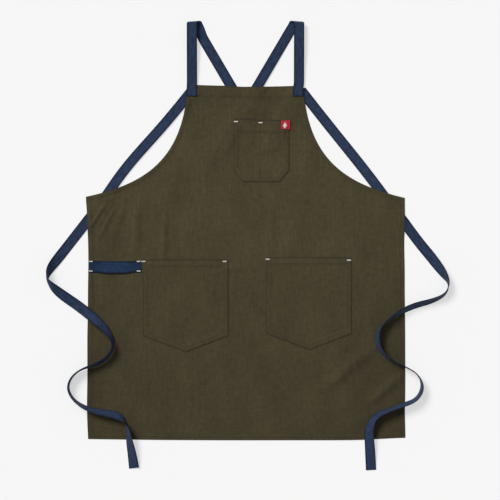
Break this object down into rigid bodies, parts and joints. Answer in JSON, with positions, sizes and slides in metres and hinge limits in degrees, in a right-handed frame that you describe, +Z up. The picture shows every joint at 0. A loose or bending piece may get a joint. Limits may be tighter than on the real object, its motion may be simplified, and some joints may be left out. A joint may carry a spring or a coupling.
{
  "type": "cross-back bib apron",
  "caption": "Cross-back bib apron in olive canvas with navy webbing straps, a chest pocket, hip pockets and a towel loop, lying flat with its ties loose.",
  "frame": {"origin": "on the table under the middle of the apron without its free ties", "axes": "+Z up out of the table and out of the apron's front face, +Y from the skirt to the bib, +X to the right as seen from above"},
  "size_m": [0.9936, 1.1081, 0.0279],
  "materials": {
    "canvas": "matte woven cotton canvas, olive",
    "webbing": "matte cotton webbing, navy",
    "olive_thread": "matte sewing thread, dark olive",
    "navy_thread": "matte sewing thread, navy",
    "cream_thread": "satin embroidery thread, cream",
    "red_label": "woven satin label, red"
  },
  "bodies": {
    "skirt": {"skirt_panel": "canvas", "left_side_hem": "canvas", "right_side_hem": "canvas", "bottom_hem": "canvas", "left_hip_pocket": "canvas", "right_hip_pocket": "canvas", "towel_loop": "webbing", "left_keeper": "canvas", "right_keeper": "canvas", "left_strap_tail": "webbing", "right_strap_tail": "webbing", "hip_bar_tacks": "cream_thread", "towel_loop_bar_tacks": "cream_thread", "skirt_hem_stitching": "olive_thread", "hip_pocket_stitching": "olive_thread", "keeper_stitching": "olive_thread"},
    "bib": {"bib_panel": "canvas", "bib_top_hem": "canvas", "left_armhole_hem": "canvas", "right_armhole_hem": "canvas", "chest_pocket": "canvas", "label": "red_label", "left_shoulder_strap": "webbing", "right_shoulder_strap": "webbing", "chest_bar_tacks": "cream_thread", "bib_hem_stitching": "olive_thread", "chest_pocket_stitching": "olive_thread", "strap_stitching": "navy_thread"},
    "left_tie": {"left_tie": "webbing"},
    "right_tie": {"right_tie": "webbing"}
  },
  "joints": [
    {"name": "bib_fold", "type": "hinge", "parent": "skirt", "child": "bib", "pos_m": [0, 0.08, 0.01], "axis": [1, 0, 0], "range_deg": [0, 178]},
    {"name": "left_tie_swing", "type": "hinge", "parent": "skirt", "child": "left_tie", "pos_m": [-0.3915, 0.0225, 0.00175], "axis": [0, 0, -1], "range_deg": [0, 75]},
    {"name": "right_tie_swing", "type": "hinge", "parent": "skirt", "child": "right_tie", "pos_m": [0.3915, 0.0205, 0.00175], "axis": [0, 0, 1], "range_deg": [0, 75]}
  ]
}
